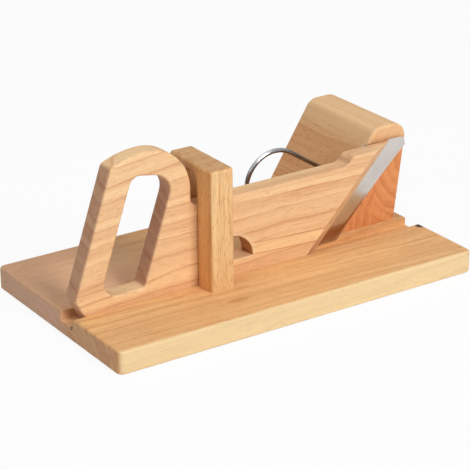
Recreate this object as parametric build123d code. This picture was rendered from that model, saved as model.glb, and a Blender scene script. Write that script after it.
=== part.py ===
from build123d import *
import os
from math import atan2, cos, radians, sin, tan

# Sausage guillotine in rubberwood. A grooved board carries a slotted gate, a stop block and a wire
# guide. A slide board, handle and arm in one, runs in the groove through the gate and takes a steel
# blade past the front of the stop block.
# Millimetres. +X runs along the board towards the stop block, +Y to the back, +Z up.
# The origin is the centre of the base board's underside.

# Base board
base_length = 345.0
base_width = 200.0
base_thickness = 20.0
base_corner_radius = 6.0
base_edge_radius = 2.5

# Groove along the base board
groove_setback = 71.5  # from the board's front edge to the groove's front wall
groove_depth = 8.0
groove_lip_radius = 0.8
running_gap = 0.3  # from the slide board to each face that guides it

# Gate: one block on two feet, with an arched slot for the arm
gate_from_left = 116.5  # from the base board's left end to the gate's left face
gate_thickness = 22.0
gate_foot_depth = 20.8
gate_slot_height = 98.0
gate_crown = 6.5  # wood left above the slot
gate_slot_gap = 0.5  # the slot is this much wider than the groove on each side
gate_edge_radius = 3.0
gate_slot_edge_radius = 1.0

# Stop block
block_from_right = 11.3  # from the base board's right end to the block's foot
block_foot = 78.9
block_height = 88.5
block_length = 98.0
block_setback = 1.5  # the front face stands behind the groove's rear wall
block_face_tilt = 32.8  # degrees from upright of the face that the sausage lies against
block_side_lean = 7.9  # degrees from upright of the outer side
block_corner_radius = 13.0
block_edge_radius = 2.5

# Wire guide over the sausage: a straight leg from the stop block, a bend, a leg down to the board
wire_diameter = 4.0
guide_setback = 23.0  # from the block's front face to the wire's plane
guide_entry_height = 45.8  # above the board, where the leg enters the block
guide_leg = 54.5
guide_bend_radius = 29.2
guide_board_seat = 12.0
guide_block_seat = 14.0
wire_fit = 0.05

# Blade
blade_thickness = 1.4
cut_angle = 47.0  # degrees above level of the arm's end
blade_overlap = 19.0  # at the board, how far the edge has passed the block's face when closed
blade_heel_reach = 20.7  # level distance from the arm's end to the edge, at the board
blade_tip_reach = 25.0  # the same at the tip
blade_edge_hollow = 2.0  # how far the edge curves in from a straight line
blade_tail = 28.0  # level width that lies behind the arm
blade_drop = 4.0  # reach down into the groove
blade_tip_height = 8.5  # from the tip of the edge up to the top of the blade
blade_nose_setback = 2.8  # the top's front end lies this far behind the tip
blade_tip_radius = 5.0
blade_bevel_width = 4.0
blade_bevel_depth = 1.1

# Slide board
board_thickness = 18.0
board_edge_radius = 2.5
arm_height = 69.5  # above the base board
head_height = 77.0
head_length = 48.2
head_step = 14.5  # length of the S-shaped rise from arm to head
end_bevel_run = 28.2  # level run of the bevelled end, from front face to back face

# Handle end of the slide board
handle_gap = 4.4  # from the handle to the gate when closed
handle_length = 108.6
handle_height = 124.6
handle_corner_height = 117.0
handle_rake = 19.0  # degrees from upright of the outer edge
handle_arch_radius = 39.6
handle_corner_radius = 5.0
handle_root_radius = 7.0
heel_height = 13.4
heel_undercut = 27.1  # degrees from upright

# Finger opening in the handle, with sides parallel to the outer edge
grip_limb = 22.0
grip_width = 38.4
grip_floor_height = 10.3
grip_top_height = 107.0
grip_top_fall = 10.8  # degrees
grip_corner_radii = (12.0, 4.0, 15.0, 9.0)  # bottom left, bottom right, top right, top left

# Half-round window in the arm
window_radius = 21.0
window_offset = 11.0  # from the gate's right face to the window's centre
window_floor_height = 13.3
window_edge_radius = 1.0

# Wood screws from below, and short screws through the blade
screw_diameter = 4.5
screw_head_diameter = 8.8
screw_length = 45.0
screw_point = 6.0
screw_sink = 0.6  # heads lie this far inside the underside
screw_fit = 0.05
block_screw_inset = 18.0
blade_screw_diameter = 3.5
blade_screw_head_diameter = 6.8
blade_screw_length = 9.0
blade_screw_count = 3
blade_screw_inset = 11.0  # from the head's top and the board to the end screws
recess_span_share = 0.55  # a cross recess's span, as a share of the head's diameter
recess_depth_share = 0.88  # of the head's height
recess_slot_share = 0.2  # each slot's width, of the shank's diameter

# Modelling aids
cut_overrun = 1.0  # how far a cut starts outside the face that it opens
touch = 0.01  # edges this near a plane lie in it

# Places that follow from the sizes above
base_left = -base_length / 2
base_right = base_length / 2
base_front = -base_width / 2
base_top = base_thickness
groove_width = board_thickness + blade_thickness + 2 * running_gap
groove_front = base_front + groove_setback
groove_back = groove_front + groove_width
groove_floor = base_top - groove_depth
board_front = groove_front + running_gap
board_back = board_front + board_thickness
blade_back = board_back + blade_thickness
slide_bottom = groove_floor + running_gap
gate_left = base_left + gate_from_left
gate_right = gate_left + gate_thickness
gate_height = gate_slot_height + gate_crown
slot_front = groove_front - gate_slot_gap
slot_back = groove_back + gate_slot_gap
block_front = groove_back + block_setback
block_foot_right = base_right - block_from_right
block_foot_left = block_foot_right - block_foot
guide_y = block_front + guide_setback
handle_right = gate_left - handle_gap
edge_foot = block_foot_left + blade_overlap
arm_end_foot = edge_foot - blade_heel_reach
head_top = base_top + head_height
arm_top = base_top + arm_height


def level_run(height, angle=cut_angle):
    """Level distance that a line at this angle above level covers while it climbs."""
    return height / tan(radians(angle))


def arm_end(z):
    """X of the arm's sloping end on the back face, at height z."""
    return arm_end_foot + level_run(z - base_top)


def upright_plane(y):
    """The X-Z plane at y, with its local y axis up."""
    return Plane(origin=(0, y, 0), x_dir=(1, 0, 0), z_dir=(0, -1, 0))


def plate(sketch, y, thickness):
    """Thicken an X-Z sketch from y to the back."""
    return extrude(upright_plane(y) * sketch, amount=-thickness)


def round_corner(sketch, point, radius):
    """Round the sketch's corner at this point."""
    return fillet(sketch.vertices().sort_by_distance((*point, 0))[0], radius)


def edges_on_y(solid, y):
    """Edges that lie in the plane at y."""
    return solid.edges().filter_by_position(Axis.Y, y - touch, y + touch)


def countersunk_screw(diameter, head_diameter, length, point):
    """Screw along +Z with the head's flat face at the origin, and a cross recess."""
    radius, head_radius = diameter / 2, head_diameter / 2
    cone = head_radius - radius
    outline = Polyline(
        (0, 0), (head_radius, 0), (radius, cone), (radius, length - point), (0, length), (0, 0)
    )
    screw = revolve(Plane.XZ * make_face(outline), Axis.Z)
    slot = Box(
        recess_span_share * head_diameter, recess_slot_share * diameter, recess_depth_share * cone,
        align=(Align.CENTER, Align.CENTER, Align.MIN),
    )
    return screw - slot - Rot(0, 0, 90) * slot


def screw_room(diameter, head_diameter, length, sink=0.0):
    """Countersunk hole along +Z that takes such a screw sunk below its mouth."""
    radius, head_radius = diameter / 2 + screw_fit, head_diameter / 2 + screw_fit
    cone = head_radius - radius
    outline = Polyline(
        (0, -cut_overrun), (head_radius, -cut_overrun), (head_radius, sink), (radius, sink + cone),
        (radius, sink + length + screw_fit), (0, sink + length + screw_fit), (0, -cut_overrun),
    )
    return revolve(Plane.XZ * make_face(outline), Axis.Z)


def gate_screw_places():
    x = (gate_left + gate_right) / 2
    return [(x, slot_front - gate_foot_depth / 2), (x, slot_back + gate_foot_depth / 2)]


def block_screw_places():
    xs = (block_foot_left + block_screw_inset, block_foot_right - block_screw_inset)
    ys = (block_front + block_screw_inset, block_front + block_length - block_screw_inset)
    return [(x, y) for x in xs for y in ys]


def screw_rooms(places):
    room = screw_room(screw_diameter, screw_head_diameter, screw_length, screw_sink)
    return [Pos(x, y, 0) * room for x, y in places]


def wood_screws(places):
    screw = countersunk_screw(screw_diameter, screw_head_diameter, screw_length, screw_point)
    return Compound(children=[Pos(x, y, screw_sink) * screw for x, y in places])


def guide_path():
    """Wire centre line in its X-Z plane, from inside the block to inside the board."""
    tilt = radians(block_face_tilt)
    entry_z = base_top + guide_entry_height
    entry_x = block_foot_left + guide_entry_height * tan(tilt)
    along = (cos(tilt), -sin(tilt))
    inner_end = (entry_x + guide_block_seat * along[0], entry_z + guide_block_seat * along[1])
    bend_start = (entry_x - guide_leg * along[0], entry_z - guide_leg * along[1])
    centre = (
        bend_start[0] - guide_bend_radius * sin(tilt),
        bend_start[1] - guide_bend_radius * cos(tilt),
    )
    bend_end = (centre[0] - guide_bend_radius, centre[1])
    sweep_angle = 90 + block_face_tilt
    bend = CenterArc((*centre, 0), guide_bend_radius, 90 - block_face_tilt, sweep_angle)
    foot = (bend_end[0], base_top - guide_board_seat)
    return [Line(inner_end, bend_start), bend, Line(bend_end, foot)]


def guide_wire(diameter, extra=0.0):
    """Round wire along the guide's path."""
    legs = guide_path()
    path = upright_plane(guide_y) * Wire([edge for leg in legs for edge in leg.edges()])
    start = Plane(origin=path @ 0, z_dir=path % 0)
    wire = sweep(start * Circle(diameter / 2), path=path)
    if extra:
        wire += Plane(origin=path @ 0, z_dir=-(path % 0)) * Cylinder(
            diameter / 2, extra, align=(Align.CENTER, Align.CENTER, Align.MIN)
        )
        wire += Plane(origin=path @ 1, z_dir=path % 1) * Cylinder(
            diameter / 2, extra, align=(Align.CENTER, Align.CENTER, Align.MIN)
        )
    return wire


def groove_cutter():
    """Groove section with rounded lips, run past both ends of the board."""
    lip = groove_lip_radius
    low, high = groove_floor, base_top
    section = make_face([
        Line((groove_front, low), (groove_back, low)),
        Line((groove_back, low), (groove_back, high - lip)),
        RadiusArc((groove_back, high - lip), (groove_back + lip, high), lip),
        Line((groove_back + lip, high), (groove_back + lip, high + lip)),
        Line((groove_back + lip, high + lip), (groove_front - lip, high + lip)),
        Line((groove_front - lip, high + lip), (groove_front - lip, high)),
        RadiusArc((groove_front - lip, high), (groove_front, high - lip), lip),
        Line((groove_front, high - lip), (groove_front, low)),
    ])
    past_end = base_right + base_edge_radius
    return extrude(Plane.YZ.offset(-past_end) * section, amount=2 * past_end)


def make_base_board():
    board = Box(
        base_length, base_width, base_thickness, align=(Align.CENTER, Align.CENTER, Align.MIN)
    )
    board = fillet(board.edges().filter_by(Axis.Z), base_corner_radius)
    rims = board.faces().sort_by(Axis.Z)
    board = fillet(rims[0].edges() + rims[-1].edges(), base_edge_radius)
    board -= groove_cutter()
    for room in screw_rooms(gate_screw_places() + block_screw_places()):
        board -= room
    return board - guide_wire(wire_diameter + 2 * wire_fit, extra=wire_fit)


def make_gate_frame():
    depth = slot_back - slot_front + 2 * gate_foot_depth
    middle = (slot_front + slot_back) / 2
    block = Pos(gate_left, middle, base_top) * Box(
        gate_thickness, depth, gate_height, align=(Align.MIN, Align.CENTER, Align.MIN)
    )
    foot = block.faces().sort_by(Axis.Z)[0]
    block = fillet(block.edges() - foot.edges(), gate_edge_radius)
    arch_radius = (slot_back - slot_front) / 2
    crown = base_top + gate_slot_height
    spring_line = crown - arch_radius
    below = base_top - cut_overrun
    slot = make_face([
        Line((slot_front, below), (slot_back, below)),
        Line((slot_back, below), (slot_back, spring_line)),
        CenterArc((middle, spring_line), arch_radius, 0, 180),
        Line((slot_front, spring_line), (slot_front, below)),
    ])
    slot_start = Plane.YZ.offset(gate_left - cut_overrun)
    block -= extrude(slot_start * slot, amount=gate_thickness + 2 * cut_overrun)
    for x in (gate_left, gate_right):
        rim = [
            edge for edge in block.edges().filter_by_position(Axis.X, x - touch, x + touch)
            if abs(edge.center().Y - middle) < arch_radius + touch
            and base_top + touch < edge.center().Z < crown + touch
        ]
        block = fillet(rim, gate_slot_edge_radius)
    for room in screw_rooms(gate_screw_places()):
        block -= room
    return block


def block_profile():
    """Side view of the stop block: a tilted sausage face, a flat top and a leaning side."""
    high = base_top + block_height
    top_left = (block_foot_left + block_height * tan(radians(block_face_tilt)), high)
    top_right = (block_foot_right + block_height * tan(radians(block_side_lean)), high)
    profile = make_face(Polyline(
        (block_foot_left, base_top), (block_foot_right, base_top), top_right, top_left,
        (block_foot_left, base_top),
    ))
    profile = round_corner(profile, top_left, block_corner_radius)
    return round_corner(profile, top_right, block_corner_radius)


def make_stop_block():
    block = plate(block_profile(), block_front, block_length)
    rims = edges_on_y(block, block_front) + edges_on_y(block, block_front + block_length)
    upper = [edge for edge in rims if edge.center().Z > base_top + touch]
    block = fillet(upper, block_edge_radius)
    for room in screw_rooms(block_screw_places()):
        block -= room
    return block - guide_wire(wire_diameter + 2 * wire_fit, extra=wire_fit)


def rake_line(z):
    """X of the handle's outer edge at height z."""
    heel_x = handle_right - handle_length
    return heel_x + (z - base_top - heel_height) * tan(radians(handle_rake))


def slide_outline():
    """Side view of the slide board, with its sloping end still square to the board."""
    heel = (rake_line(base_top + heel_height), base_top + heel_height)
    heel_rise = heel[1] - slide_bottom
    toe = (heel[0] + heel_rise * tan(radians(heel_undercut)), slide_bottom)
    end_low = (arm_end(slide_bottom), slide_bottom)
    head_end = (arm_end(head_top), head_top)
    step_high = (head_end[0] - head_length, head_top)
    step_low = (step_high[0] - head_step, arm_top)
    step_middle = ((step_high[0] + step_low[0]) / 2, (head_top + arm_top) / 2)
    root_low = (handle_right + handle_root_radius, arm_top)
    root_high = (handle_right, arm_top + handle_root_radius)
    peak_z = base_top + handle_height
    arch_start = (handle_right, peak_z - handle_arch_radius)
    peak = (handle_right - handle_arch_radius, peak_z)
    corner_z = base_top + handle_corner_height
    corner = (rake_line(corner_z), corner_z)
    outline = make_face([
        Line(toe, end_low),
        Line(end_low, head_end),
        Line(head_end, step_high),
        TangentArc(step_high, step_middle, tangent=(-1, 0)),
        TangentArc(step_low, step_middle, tangent=(1, 0)),
        Line(step_low, root_low),
        TangentArc(root_low, root_high, tangent=(-1, 0)),
        Line(root_high, arch_start),
        TangentArc(arch_start, peak, tangent=(0, 1)),
        TangentArc(peak, corner, tangent=(-1, 0)),
        Line(corner, heel),
        Line(heel, toe),
    ])
    return round_corner(outline, corner, handle_corner_radius)


def grip_opening():
    """Slanted finger opening, parallel to the handle's outer edge."""
    slant = cos(radians(handle_rake))
    floor_z = base_top + grip_floor_height
    top_z = base_top + grip_top_height

    def left(z):
        return rake_line(z) + grip_limb / slant

    width = grip_width / slant
    fall = tan(radians(grip_top_fall))
    right_z = top_z - fall * width / (1 + fall * tan(radians(handle_rake)))
    corners = [
        (left(floor_z), floor_z),
        (left(floor_z) + width, floor_z),
        (left(right_z) + width, right_z),
        (left(top_z), top_z),
    ]
    opening = make_face(Polyline(*corners, corners[0]))
    for corner, radius in zip(corners, grip_corner_radii):
        opening = round_corner(opening, corner, radius)
    return opening


def window_opening():
    """Half-round window with a level floor."""
    centre_x = gate_right + window_offset
    floor_z = base_top + window_floor_height
    left, right = (centre_x - window_radius, floor_z), (centre_x + window_radius, floor_z)
    return make_face([Line(left, right), CenterArc((centre_x, floor_z), window_radius, 0, 180)])


def end_bevel():
    """Everything beyond the arm's end, which slopes back from the front face to the blade."""
    slope = radians(cut_angle)
    along = Vector(cos(slope), 0, sin(slope))
    across = Vector(end_bevel_run, board_thickness, 0)
    end_face = Plane(
        origin=(arm_end_foot, board_back, base_top), x_dir=along, z_dir=across.cross(along)
    )
    reach = base_length
    return end_face * Box(reach, reach, reach, align=(Align.CENTER, Align.CENTER, Align.MIN))


def blade_screw_places():
    low, high = base_top + blade_screw_inset, head_top - blade_screw_inset
    step = (high - low) / (blade_screw_count - 1)
    heights = [low + step * number for number in range(blade_screw_count)]
    return [(arm_end(z) - blade_tail / 2, z) for z in heights]


def blade_screw_parts(solid):
    """Copies of a +Z screw shape at the blade's screw places, heads to the back."""
    facing_front = Rot(90, 0, 0)
    return [Pos(x, blade_back, z) * facing_front * solid for x, z in blade_screw_places()]


def blade_rooms():
    room = screw_room(blade_screw_diameter, blade_screw_head_diameter, blade_screw_length)
    return blade_screw_parts(room)


def make_slide_board():
    board = plate(slide_outline() - grip_opening(), board_front, board_thickness)
    rims = edges_on_y(board, board_front) + edges_on_y(board, board_back)
    board = fillet(rims, board_edge_radius)
    window = plate(window_opening(), board_front, board_thickness)
    board -= window
    rims = [
        edge for edge in edges_on_y(board, board_front) + edges_on_y(board, board_back)
        if abs(edge.center().X - gate_right - window_offset) < window_radius
        and slide_bottom + board_edge_radius < edge.center().Z < arm_top - board_edge_radius
    ]
    board = fillet(rims, window_edge_radius)
    board -= end_bevel()
    for room in blade_rooms():
        board -= room
    return board


def make_blade():
    low = base_top - blade_drop
    tip = (arm_end(head_top - blade_tip_height) + blade_tip_reach, head_top - blade_tip_height)
    heel = (arm_end(low) + blade_heel_reach, low)
    middle = ((heel[0] + tip[0]) / 2, (heel[1] + tip[1]) / 2)
    edge_angle = atan2(tip[1] - heel[1], tip[0] - heel[0])
    hollow = (
        middle[0] - blade_edge_hollow * sin(edge_angle),
        middle[1] + blade_edge_hollow * cos(edge_angle),
    )
    nose = (tip[0] - blade_nose_setback, head_top)
    outline = make_face([
        Line((arm_end(low) - blade_tail, low), heel),
        ThreePointArc(heel, hollow, tip),
        Line(tip, nose),
        Line(nose, (arm_end(head_top) - blade_tail, head_top)),
        Line((arm_end(head_top) - blade_tail, head_top), (arm_end(low) - blade_tail, low)),
    ])
    outline = round_corner(outline, nose, blade_tip_radius)
    blade = plate(outline, board_back, blade_thickness)
    front_edges = edges_on_y(blade, board_back)
    cutting_edge = [edge for edge in front_edges if edge.geom_type == GeomType.CIRCLE
                    and edge.length > head_height][0]
    face = blade.faces().filter_by(Axis.Y).sort_by(Axis.Y)[0]
    blade = chamfer(cutting_edge, blade_bevel_width, blade_bevel_depth, reference=face)
    for room in blade_rooms():
        blade -= room
    return blade


def make_blade_screws():
    screw = countersunk_screw(
        blade_screw_diameter, blade_screw_head_diameter, blade_screw_length, blade_screw_diameter
    )
    return Compound(children=blade_screw_parts(screw))


nodes = {
    "base_board": make_base_board,
    "gate_frame": make_gate_frame,
    "gate_screws": lambda: wood_screws(gate_screw_places()),
    "stop_block": make_stop_block,
    "stop_block_screws": lambda: wood_screws(block_screw_places()),
    "guide_hoop": lambda: guide_wire(wire_diameter),
    "slide_board": make_slide_board,
    "blade": make_blade,
    "blade_screws": make_blade_screws,
}

os.makedirs("parts", exist_ok=True)
for name, make in nodes.items():
    export_step(make(), f"parts/{name}.step")
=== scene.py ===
import math
import bmesh
import bpy
from mathutils import Matrix, Vector


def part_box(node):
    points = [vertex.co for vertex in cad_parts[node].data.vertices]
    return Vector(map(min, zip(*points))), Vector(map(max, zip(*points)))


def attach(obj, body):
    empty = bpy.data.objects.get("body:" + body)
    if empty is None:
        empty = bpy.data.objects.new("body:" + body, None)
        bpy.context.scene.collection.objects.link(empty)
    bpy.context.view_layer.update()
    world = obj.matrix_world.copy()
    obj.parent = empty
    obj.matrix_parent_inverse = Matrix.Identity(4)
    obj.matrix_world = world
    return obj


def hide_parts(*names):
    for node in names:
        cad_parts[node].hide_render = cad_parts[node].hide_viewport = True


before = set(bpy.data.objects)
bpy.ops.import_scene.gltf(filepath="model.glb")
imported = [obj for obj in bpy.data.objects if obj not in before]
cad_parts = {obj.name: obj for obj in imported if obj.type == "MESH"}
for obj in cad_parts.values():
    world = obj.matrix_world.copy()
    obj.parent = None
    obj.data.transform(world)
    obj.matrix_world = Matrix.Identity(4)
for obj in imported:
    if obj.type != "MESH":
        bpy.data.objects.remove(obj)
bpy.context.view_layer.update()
print("frame loaded:", ", ".join(sorted(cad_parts)))

mm = 0.001
mergeWithin = 0.002 * mm  # the CAD meshes' faces share no points until these are merged
sameLevel = 0.01 * mm
midNoise = (0.3, 0.7)  # where most of a noise's values lie


def shortCorners(low, high):
    return [round(v, 4) for corner in (low, high) for v in corner]


def addObject(name, data):
    item = bpy.data.objects.new(name, data)
    bpy.context.scene.collection.objects.link(item)
    return item


# Helpers for node trees

def shade(red, green, blue):
    # display values from 0 to 255, turned into what a colour socket takes
    parts = []
    for value in (red / 255, green / 255, blue / 255):
        parts.append(value / 12.92 if value <= 0.04045 else ((value + 0.055) / 1.055) ** 2.4)
    return (*parts, 1.0)


def addNode(tree, kind, inputs=None, **settings):
    node = tree.nodes.new(kind)
    for name, value in settings.items():
        setattr(node, name, value)
    for name, value in (inputs or {}).items():
        if isinstance(value, bpy.types.NodeSocket):
            tree.links.new(value, node.inputs[name])
        else:
            node.inputs[name].default_value = value
    return node


def calc(tree, operation, first, second=0.0):
    return addNode(tree, "ShaderNodeMath", {0: first, 1: second}, operation=operation).outputs[0]


def product(tree, *values):
    result = values[0]
    for value in values[1:]:
        result = calc(tree, "MULTIPLY", result, value)
    return result


def remap(tree, value, low, high, start=0.0, end=1.0):
    node = addNode(
        tree, "ShaderNodeMapRange",
        {"Value": value, "From Min": low, "From Max": high, "To Min": start, "To Max": end},
        interpolation_type="SMOOTHSTEP",
    )
    return node.outputs["Result"]


def blendColor(tree, amount, first, second, mode="MIX"):
    node = addNode(tree, "ShaderNodeMix", data_type="RGBA", blend_type=mode)
    for index, value in ((0, amount), (6, first), (7, second)):
        if isinstance(value, bpy.types.NodeSocket):
            tree.links.new(value, node.inputs[index])
        else:
            node.inputs[index].default_value = value
    return node.outputs[2]


def vectorCalc(tree, operation, first, second=(0, 0, 0)):
    node = addNode(tree, "ShaderNodeVectorMath", {0: first, 1: second}, operation=operation)
    return node.outputs["Value" if operation in ("LENGTH", "DOT_PRODUCT") else "Vector"]


def stretched(tree, vector, sizes):
    return vectorCalc(tree, "MULTIPLY", vector, sizes)


def split(tree, vector):
    return addNode(tree, "ShaderNodeSeparateXYZ", {0: vector}).outputs


def joined(tree, parts):
    return addNode(tree, "ShaderNodeCombineXYZ", parts).outputs[0]


def noise(tree, vector, detail=2.0, roughness=0.5, output="Fac"):
    node = addNode(
        tree, "ShaderNodeTexNoise",
        {"Vector": vector, "Scale": 1.0, "Detail": detail, "Roughness": roughness},
    )
    return node.outputs[output]


def emptyMaterial(name):
    material = bpy.data.materials.new(name)
    material.use_nodes = True
    material.node_tree.nodes.clear()
    return material, material.node_tree


def newGroup(name, inputs, outputs):
    group = bpy.data.node_groups.new(name, "ShaderNodeTree")
    kinds = {"value": "NodeSocketFloat", "vector": "NodeSocketVector", "color": "NodeSocketColor"}
    for label, kind, value in inputs:
        socket = group.interface.new_socket(label, in_out="INPUT", socket_type=kinds[kind])
        if value is not None:
            socket.default_value = value
    for label, kind in outputs:
        group.interface.new_socket(label, in_out="OUTPUT", socket_type=kinds[kind])
    return group, group.nodes.new("NodeGroupInput").outputs, group.nodes.new("NodeGroupOutput").inputs


# Shared shader groups

woodDetail = {
    # how far each pattern is stretched: waves or cells a metre along and across the fibres
    "waves": (((7, 26, 26), 1.0), ((38, 110, 110), 0.14)),  # and each wave's share of the warp
    "patches": (14, 60, 60),
    "fineFibre": (16, 900, 900),
    "broadFibre": (6, 160, 160),
    "poreDashes": (130, 1300, 1300),
    "ringJitter": 1.6,
    "lateFall": 0.93,  # where in a ring the dark line starts to fade
    "faintestLine": 0.45,
    "patchRange": (0.25, 0.75),
    "fibreMix": (0.55, 0.45),  # fine, broad
    "fineHeight": 0.4,
    "streakRange": (0.48, 0.68),
    "poreRange": (0.60, 0.70),
    "toneSeed": 7.3,
}


def buildRingWood():
    # solid wood: the log's axis runs along X through the origin, growth rings lie round it
    group, given, made = newGroup(
        "ringWood",
        [
            ("Vector", "vector", None), ("Ring Width", "value", 0.01), ("Warp", "value", 0.004),
            ("Early", "color", shade(236, 190, 128)), ("Late", "color", shade(205, 140, 88)),
            ("Bow", "value", 0.0), ("Line Power", "value", 3.0), ("Ring Contrast", "value", 0.6),
            ("Tone Shift", "value", 0.3), ("Streaks", "value", 0.3), ("Pores", "value", 0.4),
            ("Pore Color", "color", shade(150, 95, 58)),
        ],
        [("Color", "color"), ("Fibre", "value"), ("Height", "value")],
    )
    d = woodDetail
    # two sizes of wave bend the fibres
    bent = given["Vector"]
    for sizes, share in d["waves"]:
        sized = stretched(group, given["Vector"], sizes)
        wave = noise(group, sized, roughness=0.45, output="Color")
        centred = vectorCalc(group, "SUBTRACT", wave, (0.5, 0.5, 0.5))
        amount = product(group, given["Warp"], share)
        push = addNode(group, "ShaderNodeVectorMath", {0: centred, "Scale": amount}, operation="SCALE")
        bent = vectorCalc(group, "ADD", bent, push.outputs[0])
    # the trunk's own bow lifts the rings towards both ends
    along = split(group, given["Vector"])["X"]
    lift = product(group, along, along, given["Bow"])
    bent = vectorCalc(group, "ADD", bent, joined(group, {"Z": lift}))
    # rings of uneven width, each with a thin dark line at its end
    radius = vectorCalc(group, "LENGTH", stretched(group, bent, (0, 1, 1)))
    ring = calc(group, "DIVIDE", radius, given["Ring Width"])
    uneven = noise(group, joined(group, {"X": ring}), detail=1.0)
    ring = calc(group, "ADD", ring, product(group, uneven, d["ringJitter"]))
    place = calc(group, "FRACT", ring)
    rise = calc(group, "POWER", place, given["Line Power"])
    patchy = noise(group, stretched(group, bent, d["patches"]))
    late = product(
        group, rise, remap(group, place, 1.0, d["lateFall"]),
        remap(group, patchy, *d["patchRange"], d["faintestLine"], 1.0), given["Ring Contrast"],
    )
    tone = noise(group, joined(group, {"X": ring, "Y": d["toneSeed"]}), detail=1.0)
    toneAmount = product(group, remap(group, tone, *midNoise), given["Tone Shift"])
    color = blendColor(group, toneAmount, given["Early"], given["Late"])
    color = blendColor(group, late, color, given["Late"])
    # fibres and pores
    fine = noise(group, stretched(group, bent, d["fineFibre"]), roughness=0.6)
    broad = noise(group, stretched(group, bent, d["broadFibre"]))
    fineShare, broadShare = d["fibreMix"]
    fibre = calc(group, "ADD", product(group, fine, fineShare), product(group, broad, broadShare))
    darker = remap(group, fibre, *d["streakRange"])
    color = blendColor(group, product(group, darker, given["Streaks"]), color, given["Late"])
    dash = noise(group, stretched(group, bent, d["poreDashes"]), detail=1.0)
    pore = product(group, remap(group, dash, *d["poreRange"]), given["Pores"])
    color = blendColor(group, pore, color, given["Pore Color"])
    group.links.new(color, made["Color"])
    group.links.new(fibre, made["Fibre"])
    height = calc(group, "SUBTRACT", product(group, fine, d["fineHeight"]), pore)
    group.links.new(height, made["Height"])
    return group


endGrainRange = (0.45, 0.95)  # from faces along the fibres to faces across them


def buildEndGrain():
    # 1 where the surface cuts across the fibres
    group, given, made = newGroup(
        "endGrain",
        [("Normal", "vector", None), ("Grain Axis", "vector", (1, 0, 0))],
        [("Mask", "value")],
    )
    facing = vectorCalc(group, "DOT_PRODUCT", given["Normal"], given["Grain Axis"])
    along = calc(group, "ABSOLUTE", facing)
    group.links.new(remap(group, along, *endGrainRange), made["Mask"])
    return group


def buildSandedEdgeAndHighlight():
    # 1 on rounded edges, where the rounded normal leaves the true one; the colour lifted there is partly
    # sanding wear and partly a painted highlight
    group, given, made = newGroup(
        "sandedEdgeAndHighlight",
        [("Radius", "value", 0.002), ("Start", "value", 0.02), ("End", "value", 0.25)],
        [("Mask", "value")],
    )
    rounded = addNode(group, "ShaderNodeBevel", {"Radius": given["Radius"]}, samples=6).outputs[0]
    plain = addNode(group, "ShaderNodeNewGeometry").outputs["Normal"]
    turn = calc(group, "SUBTRACT", 1.0, vectorCalc(group, "DOT_PRODUCT", rounded, plain))
    group.links.new(remap(group, turn, given["Start"], given["End"]), made["Mask"])
    return group


cloudCells = (40, 40, 40)


def buildGrindLines():
    # fine lines left by grinding and polishing, running along local X
    group, given, made = newGroup(
        "grindLines",
        [("Vector", "vector", None), ("Along", "value", 30.0), ("Across", "value", 2500.0)],
        [("Lines", "value"), ("Clouds", "value")],
    )
    sizes = joined(group, {"X": given["Along"], "Y": given["Across"], "Z": given["Across"]})
    lines = noise(group, stretched(group, given["Vector"], sizes), detail=3.0, roughness=0.6)
    clouds = noise(group, stretched(group, given["Vector"], cloudCells))
    group.links.new(lines, made["Lines"])
    group.links.new(clouds, made["Clouds"])
    return group


ringWood = buildRingWood()
endGrain = buildEndGrain()
sandedEdgeAndHighlight = buildSandedEdgeAndHighlight()
grindLines = buildGrindLines()
print("shader groups built")


# Camera at the photographer's place

cameraPlace = {
    "focalPixels": 1944.84,
    "framePixels": 470,
    "sensorWidth": 36.0,
    "azimuth": -33.22,
    "elevation": 22.88,
    "roll": -0.62,
    "position": (-0.81934, -1.24938, 0.67131),
    "clip": (0.05, 60.0),
}


def makeCamera():
    c = cameraPlace
    azimuth, elevation, roll = (math.radians(c[key]) for key in ("azimuth", "elevation", "roll"))
    level = math.cos(elevation)
    back = Vector((math.sin(azimuth) * level, -math.cos(azimuth) * level, math.sin(elevation)))
    right = Vector((math.cos(azimuth), math.sin(azimuth), 0))
    up = back.cross(right)
    rolledRight = right * math.cos(roll) + up * math.sin(roll)
    rolledUp = up * math.cos(roll) - right * math.sin(roll)
    data = bpy.data.cameras.new("photoCamera")
    data.sensor_width = c["sensorWidth"]
    data.lens = c["focalPixels"] * c["sensorWidth"] / c["framePixels"]
    data.clip_start, data.clip_end = c["clip"]
    camera = addObject("photoCamera", data)
    turn = Matrix((rolledRight, rolledUp, back)).transposed().to_4x4()
    camera.matrix_world = Matrix.Translation(c["position"]) @ turn
    bpy.context.scene.camera = camera


# Pale floor, soft lamps and an even sky

studio = {
    "floorSize": 30.0,
    "floorColor": (0.90, 0.90, 0.90, 1),
    "floorGlow": 0.92,
    "floorGlossyGlow": 0.85,
    "skyColor": (0.82, 0.89, 1.0, 1),
    "skyStrength": 0.08,
    "mirroredSky": (0.12, 0.9),  # near the horizon, overhead
    "mirroredRise": (0.15, 0.55),  # heights between which it brightens
    "lamps": {
        # name: place, aimed at, width, power, colour
        "keyLamp": ((0.34, -2.43, 1.72), (0.0, 0.0, 0.05), 1.2, 60.0, (1.0, 1.0, 1.0)),
        "topLamp": ((-0.2, 0.3, 2.6), (0.0, 0.0, 0.05), 2.0, 25.0, (1.0, 1.0, 1.0)),
        "leftLamp": ((-2.1, -0.5, 1.0), (0.0, 0.0, 0.05), 1.2, 7.5, (0.84, 0.92, 1.0)),
    },
}


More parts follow.
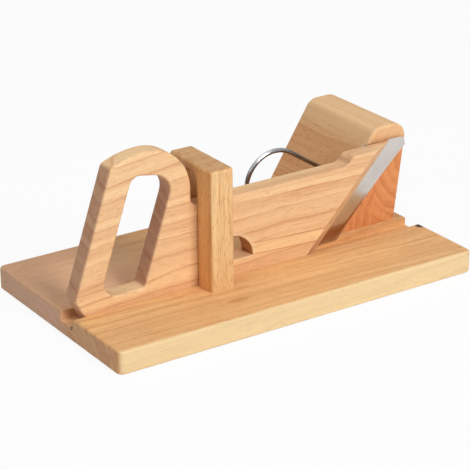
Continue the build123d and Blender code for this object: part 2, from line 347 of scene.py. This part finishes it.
def makeFloor():
    s = studio
    material, tree = emptyMaterial("paleFloor")
    path = addNode(tree, "ShaderNodeLightPath")
    seen = product(tree, path.outputs["Is Camera Ray"], s["floorGlow"])
    mirrored = calc(tree, "ADD", path.outputs["Is Glossy Ray"], path.outputs["Is Transmission Ray"])
    glow = calc(tree, "MAXIMUM", seen, product(tree, mirrored, s["floorGlossyGlow"]))
    matt = addNode(tree, "ShaderNodeBsdfDiffuse", {"Color": s["floorColor"]})
    white = addNode(tree, "ShaderNodeEmission", {"Color": (1, 1, 1, 1), "Strength": 1.0})
    both = addNode(tree, "ShaderNodeMixShader", {0: glow, 1: matt.outputs[0], 2: white.outputs[0]})
    addNode(tree, "ShaderNodeOutputMaterial", {"Surface": both.outputs[0]})
    half = s["floorSize"] / 2
    corners = [(-half, -half, 0), (half, -half, 0), (half, half, 0), (-half, half, 0)]
    mesh = bpy.data.meshes.new("studioFloor")
    mesh.from_pydata(corners, [], [(0, 1, 2, 3)])
    mesh.materials.append(material)
    floor = addObject("studioFloor", mesh)


def makeSky():
    s = studio
    world = bpy.data.worlds.new("studioSky")
    bpy.context.scene.world = world
    world.use_nodes = True
    tree = world.node_tree
    tree.nodes.clear()
    path = addNode(tree, "ShaderNodeLightPath")
    height = split(tree, addNode(tree, "ShaderNodeTexCoord").outputs["Generated"])["Z"]
    mirrored = remap(tree, height, *s["mirroredRise"], *s["mirroredSky"])
    glossy = addNode(tree, "ShaderNodeBackground", {"Color": (1, 1, 1, 1), "Strength": mirrored})
    soft = addNode(tree, "ShaderNodeBackground", {"Color": s["skyColor"], "Strength": s["skyStrength"]})
    white = addNode(tree, "ShaderNodeBackground", {"Color": (1, 1, 1, 1), "Strength": 1.0})
    isGlossy = path.outputs["Is Glossy Ray"]
    both = addNode(tree, "ShaderNodeMixShader", {0: isGlossy, 1: soft.outputs[0], 2: glossy.outputs[0]})
    seen = calc(tree, "MAXIMUM", path.outputs["Is Camera Ray"], path.outputs["Is Transmission Ray"])
    both = addNode(tree, "ShaderNodeMixShader", {0: seen, 1: both.outputs[0], 2: white.outputs[0]})
    addNode(tree, "ShaderNodeOutputWorld", {"Surface": both.outputs[0]})


def makeLamps():
    for name, (place, target, width, power, color) in studio["lamps"].items():
        data = bpy.data.lights.new(name, "AREA")
        data.shape = "SQUARE"
        data.size = width
        data.energy = power
        data.color = color
        lamp = addObject(name, data)
        lamp.location = place
        lamp.rotation_mode = "QUATERNION"
        lamp.rotation_quaternion = (Vector(target) - Vector(place)).to_track_quat("-Z", "Y")


bpy.context.scene.view_settings.view_transform = "Standard"
makeCamera()
makeFloor()
makeSky()
makeLamps()
print("camera, floor and lamps placed")


# Wood: each log's heart is a point on its axis, and its turn is in degrees

woodFinish = {"fibreDepth": 0.25 * mm, "specular": 0.32}
markEdge = {"patches": (500, 500, 500), "unevenness": 0.5, "fade": (1.0, 0.45)}


def woodMaterial(name, look, touchUp):
    material, tree = emptyMaterial(name)
    place = addNode(tree, "ShaderNodeTexCoord")
    position = place.outputs["Object"]
    logs = []
    for log in look["logs"]:
        centred = addNode(
            tree, "ShaderNodeMapping", {"Vector": position, "Location": [-v for v in log["heart"]]}
        )
        turned = addNode(
            tree, "ShaderNodeMapping",
            {"Vector": centred.outputs[0], "Rotation": [math.radians(v) for v in log["turn"]]},
        )
        logs.append(turned.outputs[0])
    vector = logs[0]
    if len(logs) > 1:  # two staves glued edge to edge
        side = calc(tree, "GREATER_THAN", split(tree, position)[look["splitAxis"]], look["splitAt"])
        vector = addNode(
            tree, "ShaderNodeMix", {0: side, 4: logs[0], 5: logs[1]}, data_type="VECTOR"
        ).outputs[1]
    wood = addNode(tree, "ShaderNodeGroup", {"Vector": vector, **look["wood"]}, node_tree=ringWood)
    across = addNode(
        tree, "ShaderNodeGroup", {"Normal": place.outputs["Normal"], "Grain Axis": look["grainAxis"]},
        node_tree=endGrain,
    )
    edge = addNode(tree, "ShaderNodeGroup", {"Radius": look["edgeRadius"]}, node_tree=sandedEdgeAndHighlight)
    endColor = blendColor(tree, 1.0, wood.outputs["Color"], look["endTint"], "MULTIPLY")
    color = blendColor(tree, across.outputs["Mask"], wood.outputs["Color"], endColor)
    # rounded edges made lighter: partly sanding wear, partly a painted highlight where they catch the
    # light
    wornAndHighlighted = blendColor(tree, 1.0, color, look["wearAndHighlightTint"], "SCREEN")
    color = blendColor(tree, edge.outputs["Mask"], color, wornAndHighlighted)
    color = touchUp(tree, position, color)
    rough = remap(tree, wood.outputs["Fibre"], *midNoise, *look["roughness"])
    bump = addNode(
        tree, "ShaderNodeBump",
        {"Strength": look["bump"], "Distance": woodFinish["fibreDepth"],
         "Height": wood.outputs["Height"]},
    )
    surface = addNode(
        tree, "ShaderNodeBsdfPrincipled",
        {"Base Color": color, "Roughness": rough, "Normal": bump.outputs[0],
         "Specular IOR Level": woodFinish["specular"]},
    )
    addNode(tree, "ShaderNodeOutputMaterial", {"Surface": surface.outputs[0]})
    return material


def spot(tree, position, color, mark):
    # a small tinted mark at one place
    offset = vectorCalc(tree, "SUBTRACT", position, mark["centre"])
    reach = vectorCalc(tree, "LENGTH", vectorCalc(tree, "DIVIDE", offset, mark["size"]))
    patches = noise(tree, stretched(tree, position, markEdge["patches"]))
    uneven = product(tree, calc(tree, "SUBTRACT", patches, 0.5), markEdge["unevenness"])
    reach = calc(tree, "ADD", reach, uneven)
    mask = product(tree, remap(tree, reach, *markEdge["fade"]), mark["amount"])
    return blendColor(tree, mask, color, mark["tint"])


def smoothCopy(nodeName, pieceName, material, angle=28, reshape=None):
    # a merged copy of the CAD mesh, shaded smooth except where faces meet at a real corner
    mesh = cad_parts[nodeName].data.copy()
    mesh.name = pieceName
    work = bmesh.new()
    work.from_mesh(mesh)
    bmesh.ops.remove_doubles(work, verts=work.verts, dist=mergeWithin)
    if reshape:
        reshape(work)
    for face in work.faces:
        face.smooth = True
    work.to_mesh(mesh)
    work.free()
    if "custom_normal" in mesh.attributes:
        mesh.attributes.remove(mesh.attributes["custom_normal"])
    mesh.set_sharp_from_angle(angle=math.radians(angle))
    mesh.materials.clear()
    mesh.materials.append(material)
    piece = addObject(pieceName, mesh)
    weighted = piece.modifiers.new("weightedNormals", "WEIGHTED_NORMAL")
    weighted.weight = 100
    weighted.keep_sharp = True
    return piece


def settle(piece, body, slot, *nodes):
    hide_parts(*nodes)
    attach(piece, body)


# Base board: grain along its length, pale sapwood along the front edge

baseBoard = {
    "logs": [{"heart": (0.0, 0.045, -0.085), "turn": (0, 1.0, 1.6)}],
    "grainAxis": (1, 0, 0),
    "wood": {
        "Ring Width": 0.0085, "Warp": 0.012, "Early": shade(243, 196, 136), "Late": shade(206, 136, 82),
        "Line Power": 3.0, "Ring Contrast": 0.5, "Tone Shift": 0.3, "Streaks": 0.6, "Pores": 0.4,
        "Pore Color": shade(178, 112, 66),
    },
    "endTint": (0.84, 0.76, 0.74, 1),
    "edgeRadius": 0.002,
    "wearAndHighlightTint": (0.10, 0.08, 0.04, 1),
    "roughness": (0.44, 0.56),
    "bump": 0.35,
    "sapwood": {"y": (-0.0965, -0.0995), "tint": shade(249, 232, 184), "amount": 0.5},
    # painted shade: the left-back of the top, in the handle's shadow, is tinted cooler
    "coolShadeEnd": {"x": (-0.03, -0.12), "y": (-0.03, 0.005), "tint": shade(228, 184, 162), "amount": 0.4},
    # darker spots near the two ends of the groove
    "darkSpots": [
        {"centre": (0.1697, -0.0325, 0.02), "size": (0.0054, 0.0054, 0.004),
         "tint": shade(58, 34, 26), "amount": 1.0},
        {"centre": (-0.1725, -0.0253, 0.0116), "size": (0.003, 0.0024, 0.003),
         "tint": shade(112, 74, 50), "amount": 0.8},
    ],
    "stain": {"centre": (-0.0447, -0.0714, 0.02), "size": (0.014, 0.005, 0.004),
              "tint": shade(196, 132, 78), "amount": 0.5},
}


def baseMarksAndShade(tree, position, color):
    place = split(tree, position)
    sap, coolShade = baseBoard["sapwood"], baseBoard["coolShadeEnd"]
    mask = product(tree, remap(tree, place["Y"], *sap["y"]), sap["amount"])
    color = blendColor(tree, mask, color, sap["tint"])
    for darkSpot in baseBoard["darkSpots"]:
        color = spot(tree, position, color, darkSpot)
    # painted shade tint behind the handle, towards the left end
    towardsEnd, towardsBack = remap(tree, place["X"], *coolShade["x"]), remap(tree, place["Y"], *coolShade["y"])
    mask = product(tree, towardsEnd, towardsBack, coolShade["amount"])
    color = blendColor(tree, mask, color, coolShade["tint"])
    return spot(tree, position, color, baseBoard["stain"])


# Gate: upright grain with long dark pores

gateBlock = {
    "logs": [{"heart": (-0.045, 0.060, 0.0), "turn": (0, 90, 0)}],
    "grainAxis": (0, 0, 1),
    "wood": {
        "Ring Width": 0.009, "Warp": 0.010, "Early": shade(248, 208, 150), "Late": shade(212, 146, 88),
        "Line Power": 3.0, "Ring Contrast": 0.4, "Tone Shift": 0.2, "Streaks": 0.85, "Pores": 0.5,
        "Pore Color": shade(180, 118, 70),
    },
    "bounceShadeTint": (0.92, 0.78, 0.62, 1),  # painted shade and orange bounce light on the face towards the handle
    "sideDepth": (0.0015, 0.0002),  # where that colour starts and is full, below the face
    "endTint": (0.78, 0.70, 0.68, 1),
    "edgeRadius": 0.002,
    "wearAndHighlightTint": (0.10, 0.09, 0.05, 1),
    "roughness": (0.44, 0.56),
    "bump": 0.5,
}


def gateBounceShade(tree, position, color):
    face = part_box("gate_frame")[0][0]
    # painted shade: the face towards the handle is darkened and made more orange, for its shadow and the
    # light bounced off the handle
    side = remap(tree, split(tree, position)["X"], *(face + step for step in gateBlock["sideDepth"]))
    bounceShaded = blendColor(tree, 1.0, color, gateBlock["bounceShadeTint"], "MULTIPLY")
    return blendColor(tree, side, color, bounceShaded)


# Stop block: two staves, end grain to the front

stopBlock = {
    "logs": [
        {"heart": (0.1725, 0.0, 0.025), "turn": (0, 0, -90)},
        {"heart": (0.187, 0.0, 0.077), "turn": (0, 0, -90)},
    ],
    "splitAxis": "X",
    "splitAt": 0.1385,
    "grainAxis": (0, 1, 0),
    "wood": {
        "Ring Width": 0.0085, "Warp": 0.010, "Early": shade(242, 188, 132), "Late": shade(204, 130, 80),
        "Line Power": 5.0, "Ring Contrast": 0.95, "Tone Shift": 0.25, "Streaks": 0.55, "Pores": 0.45,
        "Pore Color": shade(166, 102, 60),
    },
    "bores": {
        "axes": ((0.1003, 0.011), (0.1003, 0.073)), "radius": 0.0024, "top": 0.043, "faceTilt": 32.8,
        "mouthUpTo": 0.001, "wallFrom": 0.005,  # heights above the block's foot
    },
    "paleTop": {"z": (0.082, 0.104), "tint": shade(250, 214, 164), "amount": 0.55},
    "endTint": (0.97, 0.70, 0.54, 1),
    "edgeRadius": 0.002,
    "wearAndHighlightTint": (0.08, 0.07, 0.04, 1),
    "roughness": (0.44, 0.56),
    "bump": 0.35,
}


def endBoresInside(work):
    # two of the block's screw bores just break through its tilted face; here they end below it
    b = stopBlock["bores"]

    def nearAxis(vert):
        return any(math.hypot(vert.co.x - x, vert.co.y - y) < b["radius"] for x, y in b["axes"])

    foot = min(v.co.z for v in work.verts)
    inner = [v for v in work.verts if nearAxis(v) and v.co.z > foot + b["wallFrom"]]
    bmesh.ops.delete(work, geom=inner, context="VERTS")
    loose = [e for e in work.edges if e.is_boundary]
    mouthTop = foot + b["mouthUpTo"]
    mouths = [e for e in loose if all(nearAxis(v) and v.co.z < mouthTop for v in e.verts)]
    torn = [e for e in loose if e not in mouths]
    tilt = math.radians(b["faceTilt"])
    outwards = (-math.cos(tilt), 0, math.sin(tilt))
    bmesh.ops.triangle_fill(work, edges=torn, use_beauty=True, normal=outwards)
    wall = bmesh.ops.extrude_edge_only(work, edges=mouths)["geom"]
    for part in wall:
        if isinstance(part, bmesh.types.BMVert):
            part.co.z = b["top"]
    rims = [e for e in wall if isinstance(e, bmesh.types.BMEdge) and e.is_boundary]
    bmesh.ops.holes_fill(work, edges=rims, sides=0)
    bmesh.ops.recalc_face_normals(work, faces=work.faces[:])
    print("stop block's open edges:", sum(not e.is_manifold for e in work.edges))


def blockMarks(tree, position, color):
    pale = stopBlock["paleTop"]
    mask = product(tree, remap(tree, split(tree, position)["Z"], *pale["z"]), pale["amount"])
    return blendColor(tree, mask, color, pale["tint"])


# Slide board: broad bands along the arm, a little wavy

slideBoard = {
    "logs": [{"heart": (0.026, 0.06, -0.26), "turn": (0, 0, 0)}],
    "grainAxis": (1, 0, 0),
    "wood": {
        "Ring Width": 0.0125, "Warp": 0.016, "Bow": 0.32, "Early": shade(251, 211, 159),
        "Late": shade(200, 116, 74), "Line Power": 8.0, "Ring Contrast": 1.0, "Tone Shift": 0.24,
        "Streaks": 0.34, "Pores": 0.3, "Pore Color": shade(186, 120, 78),
    },
    "endTint": (0.72, 0.61, 0.64, 1),
    "edgeRadius": 0.002,
    "wearAndHighlightTint": (0.10, 0.08, 0.05, 1),
    "roughness": (0.44, 0.56),
    "bump": 0.35,
    # painted light at the window: shade in its hollow, a highlight on its rim
    "window": {  # each fade lies between two distances from the line it belongs to
        "fromGate": 0.011, "floor": 0.0333, "floorFade": (-0.0002, 0.0004),
        "radius": 0.021, "rimFade": (0.005, 0.0005), "rimHighlightTint": (0.24, 0.21, 0.13, 1),
        "hollowDepth": (0.0003, 0.0012), "hollowFade": (0.0006, 0.0002),
        "hollowShadeTint": (0.80, 0.60, 0.40, 1),
    },
    "paleBand": {
        "low": 0.0338, "high": 0.0439, "fall": 0.055, "startFade": (-0.003, 0.003),
        "tint": shade(254, 214, 158), "amount": 0.45,
        "lineWidth": 0.0009, "lineTint": shade(206, 128, 82), "lineAmount": 0.6,
    },
}


def slideShadeAndBand(tree, position, color):
    x, y, z = split(tree, position)
    # the half-round window: painted shade darkens the hollow, and a painted highlight lightens its rim
    w = slideBoard["window"]
    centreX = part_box("gate_frame")[1][0] + w["fromGate"]
    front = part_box("slide_board")[0][1]
    fromCentre = joined(tree, {
        "X": calc(tree, "SUBTRACT", x, centreX), "Z": calc(tree, "SUBTRACT", z, w["floor"]),
    })
    reach = vectorCalc(tree, "LENGTH", fromCentre)
    above = remap(tree, z, *(w["floor"] + step for step in w["floorFade"]))
    rim = remap(tree, reach, *(w["radius"] + step for step in w["rimFade"]))
    rimHighlighted = blendColor(tree, 1.0, color, w["rimHighlightTint"], "SCREEN")
    color = blendColor(tree, product(tree, rim, above), color, rimHighlighted)
    inside = remap(tree, y, *(front + step for step in w["hollowDepth"]))
    within = remap(tree, reach, *(w["radius"] + step for step in w["hollowFade"]))
    hollowShaded = blendColor(tree, 1.0, color, w["hollowShadeTint"], "MULTIPLY")
    color = blendColor(tree, product(tree, inside, within, above), color, hollowShaded)
    # a pale band between two darker lines, falling a little from the window to the bevel
    b = slideBoard["paleBand"]
    width = b["lineWidth"]
    fromWindow = calc(tree, "SUBTRACT", x, centreX + w["radius"])
    level = calc(tree, "ADD", z, product(tree, fromWindow, b["fall"]))
    started = remap(tree, fromWindow, *b["startFade"])
    overLow = remap(tree, level, b["low"], b["low"] + width)
    underHigh = remap(tree, level, b["high"], b["high"] - width)
    color = blendColor(tree, product(tree, overLow, underHigh, started, b["amount"]), color, b["tint"])
    for edgeLevel in (b["low"], b["high"]):
        away = calc(tree, "ABSOLUTE", calc(tree, "SUBTRACT", level, edgeLevel))
        line = product(tree, remap(tree, away, width, 0.0), started, b["lineAmount"])
        color = blendColor(tree, line, color, b["lineTint"])
    return color


woodPieces = [
    ("base_board", "baseBoard", baseBoard, baseMarksAndShade, None, "base", "base_wood"),
    ("gate_frame", "gateBlock", gateBlock, gateBounceShade, None, "base", "gate_wood"),
    ("stop_block", "stopBlock", stopBlock, blockMarks, endBoresInside, "base", "block_wood"),
    ("slide_board", "slideBoard", slideBoard, slideShadeAndBand, None, "slider", "slide_wood"),
]
for nodeName, pieceName, look, touchUp, reshape, body, slot in woodPieces:
    material = woodMaterial(pieceName + "Wood", look, touchUp)
    settle(smoothCopy(nodeName, pieceName, material, reshape=reshape), body, slot, nodeName)
print("wood pieces dressed")


# Steel

grindDepth = 0.02 * mm


def steelMaterial(name, look):
    material, tree = emptyMaterial(name)
    position = addNode(tree, "ShaderNodeTexCoord").outputs["Object"]
    turned = addNode(
        tree, "ShaderNodeMapping",
        {"Vector": position, "Rotation": [math.radians(v) for v in look["turn"]]},
    )
    ground = addNode(
        tree, "ShaderNodeGroup",
        {"Vector": turned.outputs[0], "Along": look["along"], "Across": look["across"]},
        node_tree=grindLines,
    )
    clouds = remap(tree, ground.outputs["Clouds"], *midNoise)
    color = blendColor(tree, clouds, look["color"], look["dullColor"])
    rough = remap(tree, ground.outputs["Lines"], *midNoise, *look["roughness"])
    bump = addNode(
        tree, "ShaderNodeBump",
        {"Strength": look["bump"], "Distance": grindDepth, "Height": ground.outputs["Lines"]},
    )
    surface = addNode(
        tree, "ShaderNodeBsdfPrincipled",
        {"Base Color": color, "Metallic": 1.0, "Roughness": rough, "Normal": bump.outputs[0]},
    )
    addNode(tree, "ShaderNodeOutputMaterial", {"Surface": surface.outputs[0]})
    return material


bladeSteel = {
    "turn": (0, 43, 0),
    "along": 25.0,
    "across": 1800.0,
    "color": (0.70, 0.65, 0.61, 1),
    "dullColor": (0.60, 0.55, 0.51, 1),
    "roughness": (0.16, 0.24),
    "bump": 0.12,
}
blade = smoothCopy("blade", "sliceBlade", steelMaterial("bladeSteel", bladeSteel), angle=20)
settle(blade, "slider", "blade_steel", "blade")


# Nodes for pieces that follow a rule

def newGeometryTree(name, inputs):
    tree = bpy.data.node_groups.new(name, "GeometryNodeTree")
    kinds = {
        "size": "NodeSocketFloat", "count": "NodeSocketInt", "turn": "NodeSocketVector",
        "material": "NodeSocketMaterial",
    }
    tree.interface.new_socket("Geometry", in_out="INPUT", socket_type="NodeSocketGeometry")
    for label, kind in inputs:
        tree.interface.new_socket(label, in_out="INPUT", socket_type=kinds[kind])
    tree.interface.new_socket("Geometry", in_out="OUTPUT", socket_type="NodeSocketGeometry")
    return tree, tree.nodes.new("NodeGroupInput").outputs, tree.nodes.new("NodeGroupOutput").inputs


def bakeNodes(piece, tree, values):
    # runs the tree on the piece once and keeps the result as a plain mesh
    modifier = piece.modifiers.new("build", "NODES")
    modifier.node_group = tree
    for item in tree.interface.items_tree:
        if item.in_out == "INPUT" and item.name in values:
            modifier[item.identifier] = values[item.name]
    bpy.context.view_layer.update()
    graph = bpy.context.evaluated_depsgraph_get()
    mesh = bpy.data.meshes.new_from_object(piece.evaluated_get(graph), depsgraph=graph)
    name = piece.name
    bpy.data.objects.remove(piece)
    mesh.name = name
    return addObject(name, mesh)


# Wire guide: a leg out of the block, one bend, a leg down into the board

wireGuide = {
    "plane": 0.016,
    "entry": (0.11184, 0.0658),  # where the leg enters the block's tilted face
    "tilt": 32.8,
    "blockSeat": 0.014,
    "legLength": 0.0545,
    "bendRadius": 0.0292,
    "footDepth": 0.008,
    "wireRadius": 0.002,
    "bendSteps": 40,
    "sides": 28,
}


def buildWireTree():
    tree, given, made = newGeometryTree(
        "bentWire",
        [("Wire Radius", "size"), ("Bend Radius", "size"), ("Bend Steps", "count"), ("Sides", "count"),
         ("Material", "material")],
    )
    path = addNode(tree, "GeometryNodeMeshToCurve", {"Mesh": given["Geometry"]})
    bend = addNode(
        tree, "GeometryNodeFilletCurve",
        {"Curve": path.outputs[0], "Radius": given["Bend Radius"], "Count": given["Bend Steps"]},
        mode="POLY",
    )
    ring = addNode(
        tree, "GeometryNodeCurvePrimitiveCircle",
        {"Resolution": given["Sides"], "Radius": given["Wire Radius"]},
    )
    wire = addNode(
        tree, "GeometryNodeCurveToMesh",
        {"Curve": bend.outputs[0], "Profile Curve": ring.outputs[0], "Fill Caps": True},
    )
    smooth = addNode(tree, "GeometryNodeSetShadeSmooth", {"Geometry": wire.outputs[0]})
    painted = addNode(
        tree, "GeometryNodeSetMaterial", {"Geometry": smooth.outputs[0], "Material": given["Material"]}
    )
    tree.links.new(painted.outputs[0], made[0])
    return tree


def makeWireGuide(material):
    w = wireGuide
    tilt = math.radians(w["tilt"])
    along = Vector((math.cos(tilt), 0, -math.sin(tilt)))
    entry = Vector((w["entry"][0], w["plane"], w["entry"][1]))
    bendStart = entry - along * w["legLength"]
    bendCentre = bendStart - Vector((math.sin(tilt), 0, math.cos(tilt))) * w["bendRadius"]
    footX = bendCentre.x - w["bendRadius"]
    corner = entry - along * ((entry.x - footX) / along.x)
    foot = Vector((footX, w["plane"], w["footDepth"]))
    inner = entry + along * w["blockSeat"]
    mesh = bpy.data.meshes.new("wireGuide")
    mesh.from_pydata([inner, corner, foot], [(0, 1), (1, 2)], [])
    path = addObject("wireGuide", mesh)
    values = {
        "Wire Radius": w["wireRadius"], "Bend Radius": w["bendRadius"], "Bend Steps": w["bendSteps"],
        "Sides": w["sides"], "Material": material,
    }
    return bakeNodes(path, buildWireTree(), values)


wireSteel = {
    "turn": (0, 0, 0),
    "along": 900.0,
    "across": 900.0,
    "color": (0.44, 0.44, 0.45, 1),
    "dullColor": (0.38, 0.38, 0.40, 1),
    "roughness": (0.14, 0.20),
    "bump": 0.05,
}
wire = makeWireGuide(steelMaterial("wireSteel", wireSteel))
settle(wire, "base", "wire_steel", "guide_hoop")
print("blade and wire guide made, wire box", shortCorners(wire.bound_box[0], wire.bound_box[6]))


# Screws: countersunk, with a cross recess and a thread on the lower shank

screwSteel = {
    "turn": (0, 0, 0),
    "along": 700.0,
    "across": 700.0,
    "color": (0.62, 0.62, 0.60, 1),
    "dullColor": (0.50, 0.50, 0.48, 1),
    "roughness": (0.28, 0.4),
    "bump": 0.1,
}
boardScrew = {
    "shankRadius": 0.00225,
    "pointLength": 0.006,
    "plainShank": 0.010,  # from the head to the thread
    "pitch": 0.0018,
    "threadDepth": 0.00045,
    "sides": 28,
    "rowsPerTurn": 6,
}
bladeScrew = {
    "shankRadius": 0.00175,
    "pointLength": 0.0035,
    "plainShank": 0.0004,
    "pitch": 0.0013,
    "threadDepth": 0.00035,
    "sides": 28,
    "rowsPerTurn": 6,
}
screwDetail = {
    "recessSpan": 1.1,  # of the head's radius
    "recessWidth": 0.09,  # of the head's radius, to each side
    "recessDepth": 0.88,  # of the head's height
    "tipWidth": 0.02,  # of the shank's
    "smoothAngle": 35,
}


def buildScrewTree():
    # one screw along +Z with its head's flat face at the origin, set on every point of the piece
    tree, given, made = newGeometryTree(
        "woodScrew",
        [("Direction", "turn"), ("Head Radius", "size"), ("Shank Radius", "size"), ("Length", "size"),
         ("Point Length", "size"), ("Plain Shank", "size"), ("Pitch", "size"), ("Thread Depth", "size"),
         ("Recess Span", "size"), ("Recess Width", "size"), ("Recess Depth", "size"),
         ("Sides", "count"), ("Rows", "count"), ("Material", "material")],
    )
    cone = calc(tree, "SUBTRACT", given["Head Radius"], given["Shank Radius"])
    head = addNode(
        tree, "GeometryNodeMeshCone",
        {"Vertices": given["Sides"], "Depth": cone,
         "Radius Top": given["Shank Radius"], "Radius Bottom": given["Head Radius"]},
    )
    deep = product(tree, cone, given["Recess Depth"], 2.0)  # half of it lies above the head
    wide = product(tree, given["Recess Width"], 2.0)
    cut = addNode(
        tree, "GeometryNodeMeshBoolean", {"Mesh 1": head.outputs["Mesh"]}, operation="DIFFERENCE"
    )
    for x, y in ((given["Recess Span"], wide), (wide, given["Recess Span"])):
        slot = addNode(tree, "GeometryNodeMeshCube", {"Size": joined(tree, {"X": x, "Y": y, "Z": deep})})
        tree.links.new(slot.outputs["Mesh"], cut.inputs["Mesh 2"])
    shankLength = calc(tree, "SUBTRACT", given["Length"], cone)
    shank = addNode(
        tree, "GeometryNodeMeshCylinder",
        {"Vertices": given["Sides"], "Side Segments": given["Rows"], "Radius": given["Shank Radius"],
         "Depth": shankLength},
    )
    middle = calc(tree, "ADD", cone, product(tree, shankLength, 0.5))
    moved = addNode(
        tree, "GeometryNodeTransform",
        {"Geometry": shank.outputs["Mesh"], "Translation": joined(tree, {"Z": middle})},
    )
    # a thread groove winds round the shank, and the point tapers
    x, y, z = split(tree, addNode(tree, "GeometryNodeInputPosition").outputs[0])
    turns = calc(tree, "DIVIDE", calc(tree, "ARCTAN2", y, x), 2 * math.pi)
    phase = calc(tree, "FRACT", calc(tree, "SUBTRACT", calc(tree, "DIVIDE", z, given["Pitch"]), turns))
    groove = calc(tree, "ABSOLUTE", calc(tree, "SUBTRACT", product(tree, phase, 2.0), 1.0))
    start = calc(tree, "ADD", cone, given["Plain Shank"])
    threaded = addNode(
        tree, "ShaderNodeMapRange",
        {"Value": z, "From Min": start, "From Max": calc(tree, "ADD", start, given["Pitch"])},
    ).outputs["Result"]
    depth = calc(tree, "DIVIDE", given["Thread Depth"], given["Shank Radius"])
    keep = calc(tree, "SUBTRACT", 1.0, product(tree, groove, threaded, depth))
    left = calc(tree, "DIVIDE", calc(tree, "SUBTRACT", given["Length"], z), given["Point Length"])
    taper = calc(tree, "MAXIMUM", calc(tree, "MINIMUM", left, 1.0), screwDetail["tipWidth"])
    scale = product(tree, keep, taper)
    place = joined(tree, {"X": product(tree, x, scale), "Y": product(tree, y, scale), "Z": z})
    turned = addNode(tree, "GeometryNodeSetPosition", {"Geometry": moved.outputs[0], "Position": place})
    screw = addNode(tree, "GeometryNodeJoinGeometry")
    tree.links.new(cut.outputs["Mesh"], screw.inputs[0])
    tree.links.new(turned.outputs[0], screw.inputs[0])
    facing = addNode(tree, "FunctionNodeAlignRotationToVector", {"Vector": given["Direction"]}, axis="Z")
    copies = addNode(
        tree, "GeometryNodeInstanceOnPoints",
        {"Points": given["Geometry"], "Instance": screw.outputs[0], "Rotation": facing.outputs[0]},
    )
    solid = addNode(tree, "GeometryNodeRealizeInstances", {"Geometry": copies.outputs[0]})
    painted = addNode(
        tree, "GeometryNodeSetMaterial", {"Geometry": solid.outputs[0], "Material": given["Material"]}
    )
    tree.links.new(painted.outputs[0], made[0])
    return tree


def screwPlaces(nodeName):
    # head centres, direction, head radius and length of a CAD node's screws
    work = bmesh.new()
    work.from_mesh(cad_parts[nodeName].data)
    bmesh.ops.remove_doubles(work, verts=work.verts, dist=mergeWithin)
    waiting, heads = set(work.verts), []
    for first in work.verts:
        if first not in waiting:
            continue
        # one screw: every point that joins on to its first one
        waiting.discard(first)
        points, front = [], [first]
        while front:
            vert = front.pop()
            points.append(vert.co)
            for edge in vert.link_edges:
                other = edge.other_vert(vert)
                if other in waiting:
                    waiting.discard(other)
                    front.append(other)
        low = Vector(min(p[i] for p in points) for i in range(3))
        high = Vector(max(p[i] for p in points) for i in range(3))
        size = high - low
        axis = max(range(3), key=lambda i: size[i])
        centre = (low + high) / 2
        # the wider end is the head
        radii = []
        for end in (low, high):
            offsets = [p - centre for p in points if abs(p[axis] - end[axis]) < sameLevel]
            for offset in offsets:
                offset[axis] = 0
            radii.append(max(offset.length for offset in offsets))
        headAtLow = radii[0] > radii[1]
        head = centre.copy()
        head[axis] = (low if headAtLow else high)[axis]
        heads.append(head)
        direction = Vector((0, 0, 0))
        direction[axis] = 1 if headAtLow else -1
        headRadius, length = max(radii), size[axis]
    work.free()
    return heads, direction, headRadius, length


def makeScrews(nodeName, pieceName, look, material, tree):
    heads, direction, headRadius, length = screwPlaces(nodeName)
    mesh = bpy.data.meshes.new(pieceName)
    mesh.from_pydata(heads, [], [])
    points = addObject(pieceName, mesh)
    cone = headRadius - look["shankRadius"]
    values = {
        "Direction": direction, "Head Radius": headRadius, "Shank Radius": look["shankRadius"],
        "Length": length, "Point Length": look["pointLength"], "Plain Shank": look["plainShank"],
        "Pitch": look["pitch"], "Thread Depth": look["threadDepth"],
        "Recess Span": screwDetail["recessSpan"] * headRadius,
        "Recess Width": screwDetail["recessWidth"] * headRadius,
        "Recess Depth": screwDetail["recessDepth"],
        "Sides": look["sides"], "Rows": round((length - cone) / look["pitch"] * look["rowsPerTurn"]),
        "Material": material,
    }
    piece = bakeNodes(points, tree, values)
    for polygon in piece.data.polygons:
        polygon.use_smooth = True
    piece.data.set_sharp_from_angle(angle=math.radians(screwDetail["smoothAngle"]))
    return piece


zinc = steelMaterial("screwSteel", screwSteel)
screwTree = buildScrewTree()
for nodeName, pieceName, look, body in (
    ("gate_screws", "gateScrews", boardScrew, "base"),
    ("stop_block_screws", "stopBlockScrews", boardScrew, "base"),
    ("blade_screws", "bladeScrews", bladeScrew, "slider"),
):
    screws = makeScrews(nodeName, pieceName, look, zinc, screwTree)
    settle(screws, body, "screw_steel", nodeName)
    print(pieceName, len(screws.data.polygons), "faces, box",
          shortCorners(screws.bound_box[0], screws.bound_box[6]))
